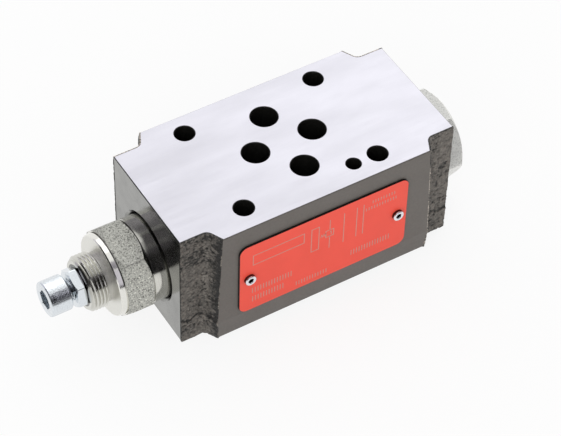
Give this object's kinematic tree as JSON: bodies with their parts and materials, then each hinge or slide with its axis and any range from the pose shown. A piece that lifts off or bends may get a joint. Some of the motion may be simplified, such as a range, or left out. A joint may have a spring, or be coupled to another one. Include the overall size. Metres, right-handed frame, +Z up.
{
  "type": "hydraulic sandwich relief valve",
  "caption": "Flat block with a size 6 port pattern through it, a screw-in relief cartridge with adjusting screw and lock nut at one end and a hexagon plug at the other.",
  "frame": {"origin": "centre of the port pattern on the lower mounting face", "axes": "+X along the block from the adjuster to the plug, +Y to the back away from the name plate, +Z up out of the upper mounting face"},
  "size_m": [0.1232, 0.0458, 0.039],
  "materials": {
    "cast_iron_block": "ground top and bottom, milled sides, as-cast notches",
    "coated_plate": "satin red coat with a pale printed port symbol",
    "pin_steel": "bright tubular pin",
    "turned_steel": "zinc plated, turned and milled",
    "zinc_plated_steel": "bright zinc plated",
    "hardened_steel": "ground",
    "spring_steel": "oiled wire",
    "seal_rubber": "moulded nitrile",
    "backup_plastic": "turned PTFE"
  },
  "bodies": {
    "valve_block": {"valve_body": "cast_iron_block", "name_plate": "coated_plate", "plate_pin_left": "pin_steel", "plate_pin_right": "pin_steel", "cartridge_housing": "turned_steel", "seat_sleeve": "hardened_steel", "main_spring": "spring_steel", "cartridge_head_seal": "seal_rubber", "cartridge_nose_seal": "seal_rubber", "cartridge_backup_ring": "backup_plastic", "closing_plug": "turned_steel", "plug_head_seal": "seal_rubber", "plug_nose_seal": "seal_rubber", "plug_backup_ring": "backup_plastic", "port_seal_p": "seal_rubber", "port_seal_t": "seal_rubber", "port_seal_a": "seal_rubber", "port_seal_b": "seal_rubber"},
    "spring_carrier_group": {"spring_carrier": "hardened_steel", "carrier_seal": "seal_rubber"},
    "screw": {"adjusting_screw": "zinc_plated_steel"},
    "nut": {"lock_nut": "zinc_plated_steel"},
    "poppet_group": {"relief_poppet": "hardened_steel", "spring_plate": "hardened_steel"}
  },
  "joints": [
    {"name": "carrier_slide", "type": "slide", "parent": "valve_block", "child": "spring_carrier_group", "axis": [1, 0, 0], "range_m": [-0.0032, 0.0012], "deforming": ["main_spring"]},
    {"name": "screw_turn", "type": "hinge", "parent": "spring_carrier_group", "child": "screw", "pos_m": [-0.07, -0.0005, 0.0171], "axis": [1, 0, 0], "range_deg": [-1155, 435]},
    {"name": "lock_nut_turn", "type": "hinge", "parent": "valve_block", "child": "nut", "pos_m": [-0.0639, -0.0005, 0.0171], "axis": [1, 0, 0], "range_deg": [-360, 0]},
    {"name": "poppet_lift", "type": "slide", "parent": "valve_block", "child": "poppet_group", "axis": [-1, 0, 0], "range_m": [0, 0.0015], "stiffness_N_per_m": 500, "springref_m": -0.004, "deforming": ["main_spring"]}
  ],
  "couplings": [
    {"joint": "screw_turn", "follows": "carrier_slide", "rad_per_m": 6283.2}
  ]
}
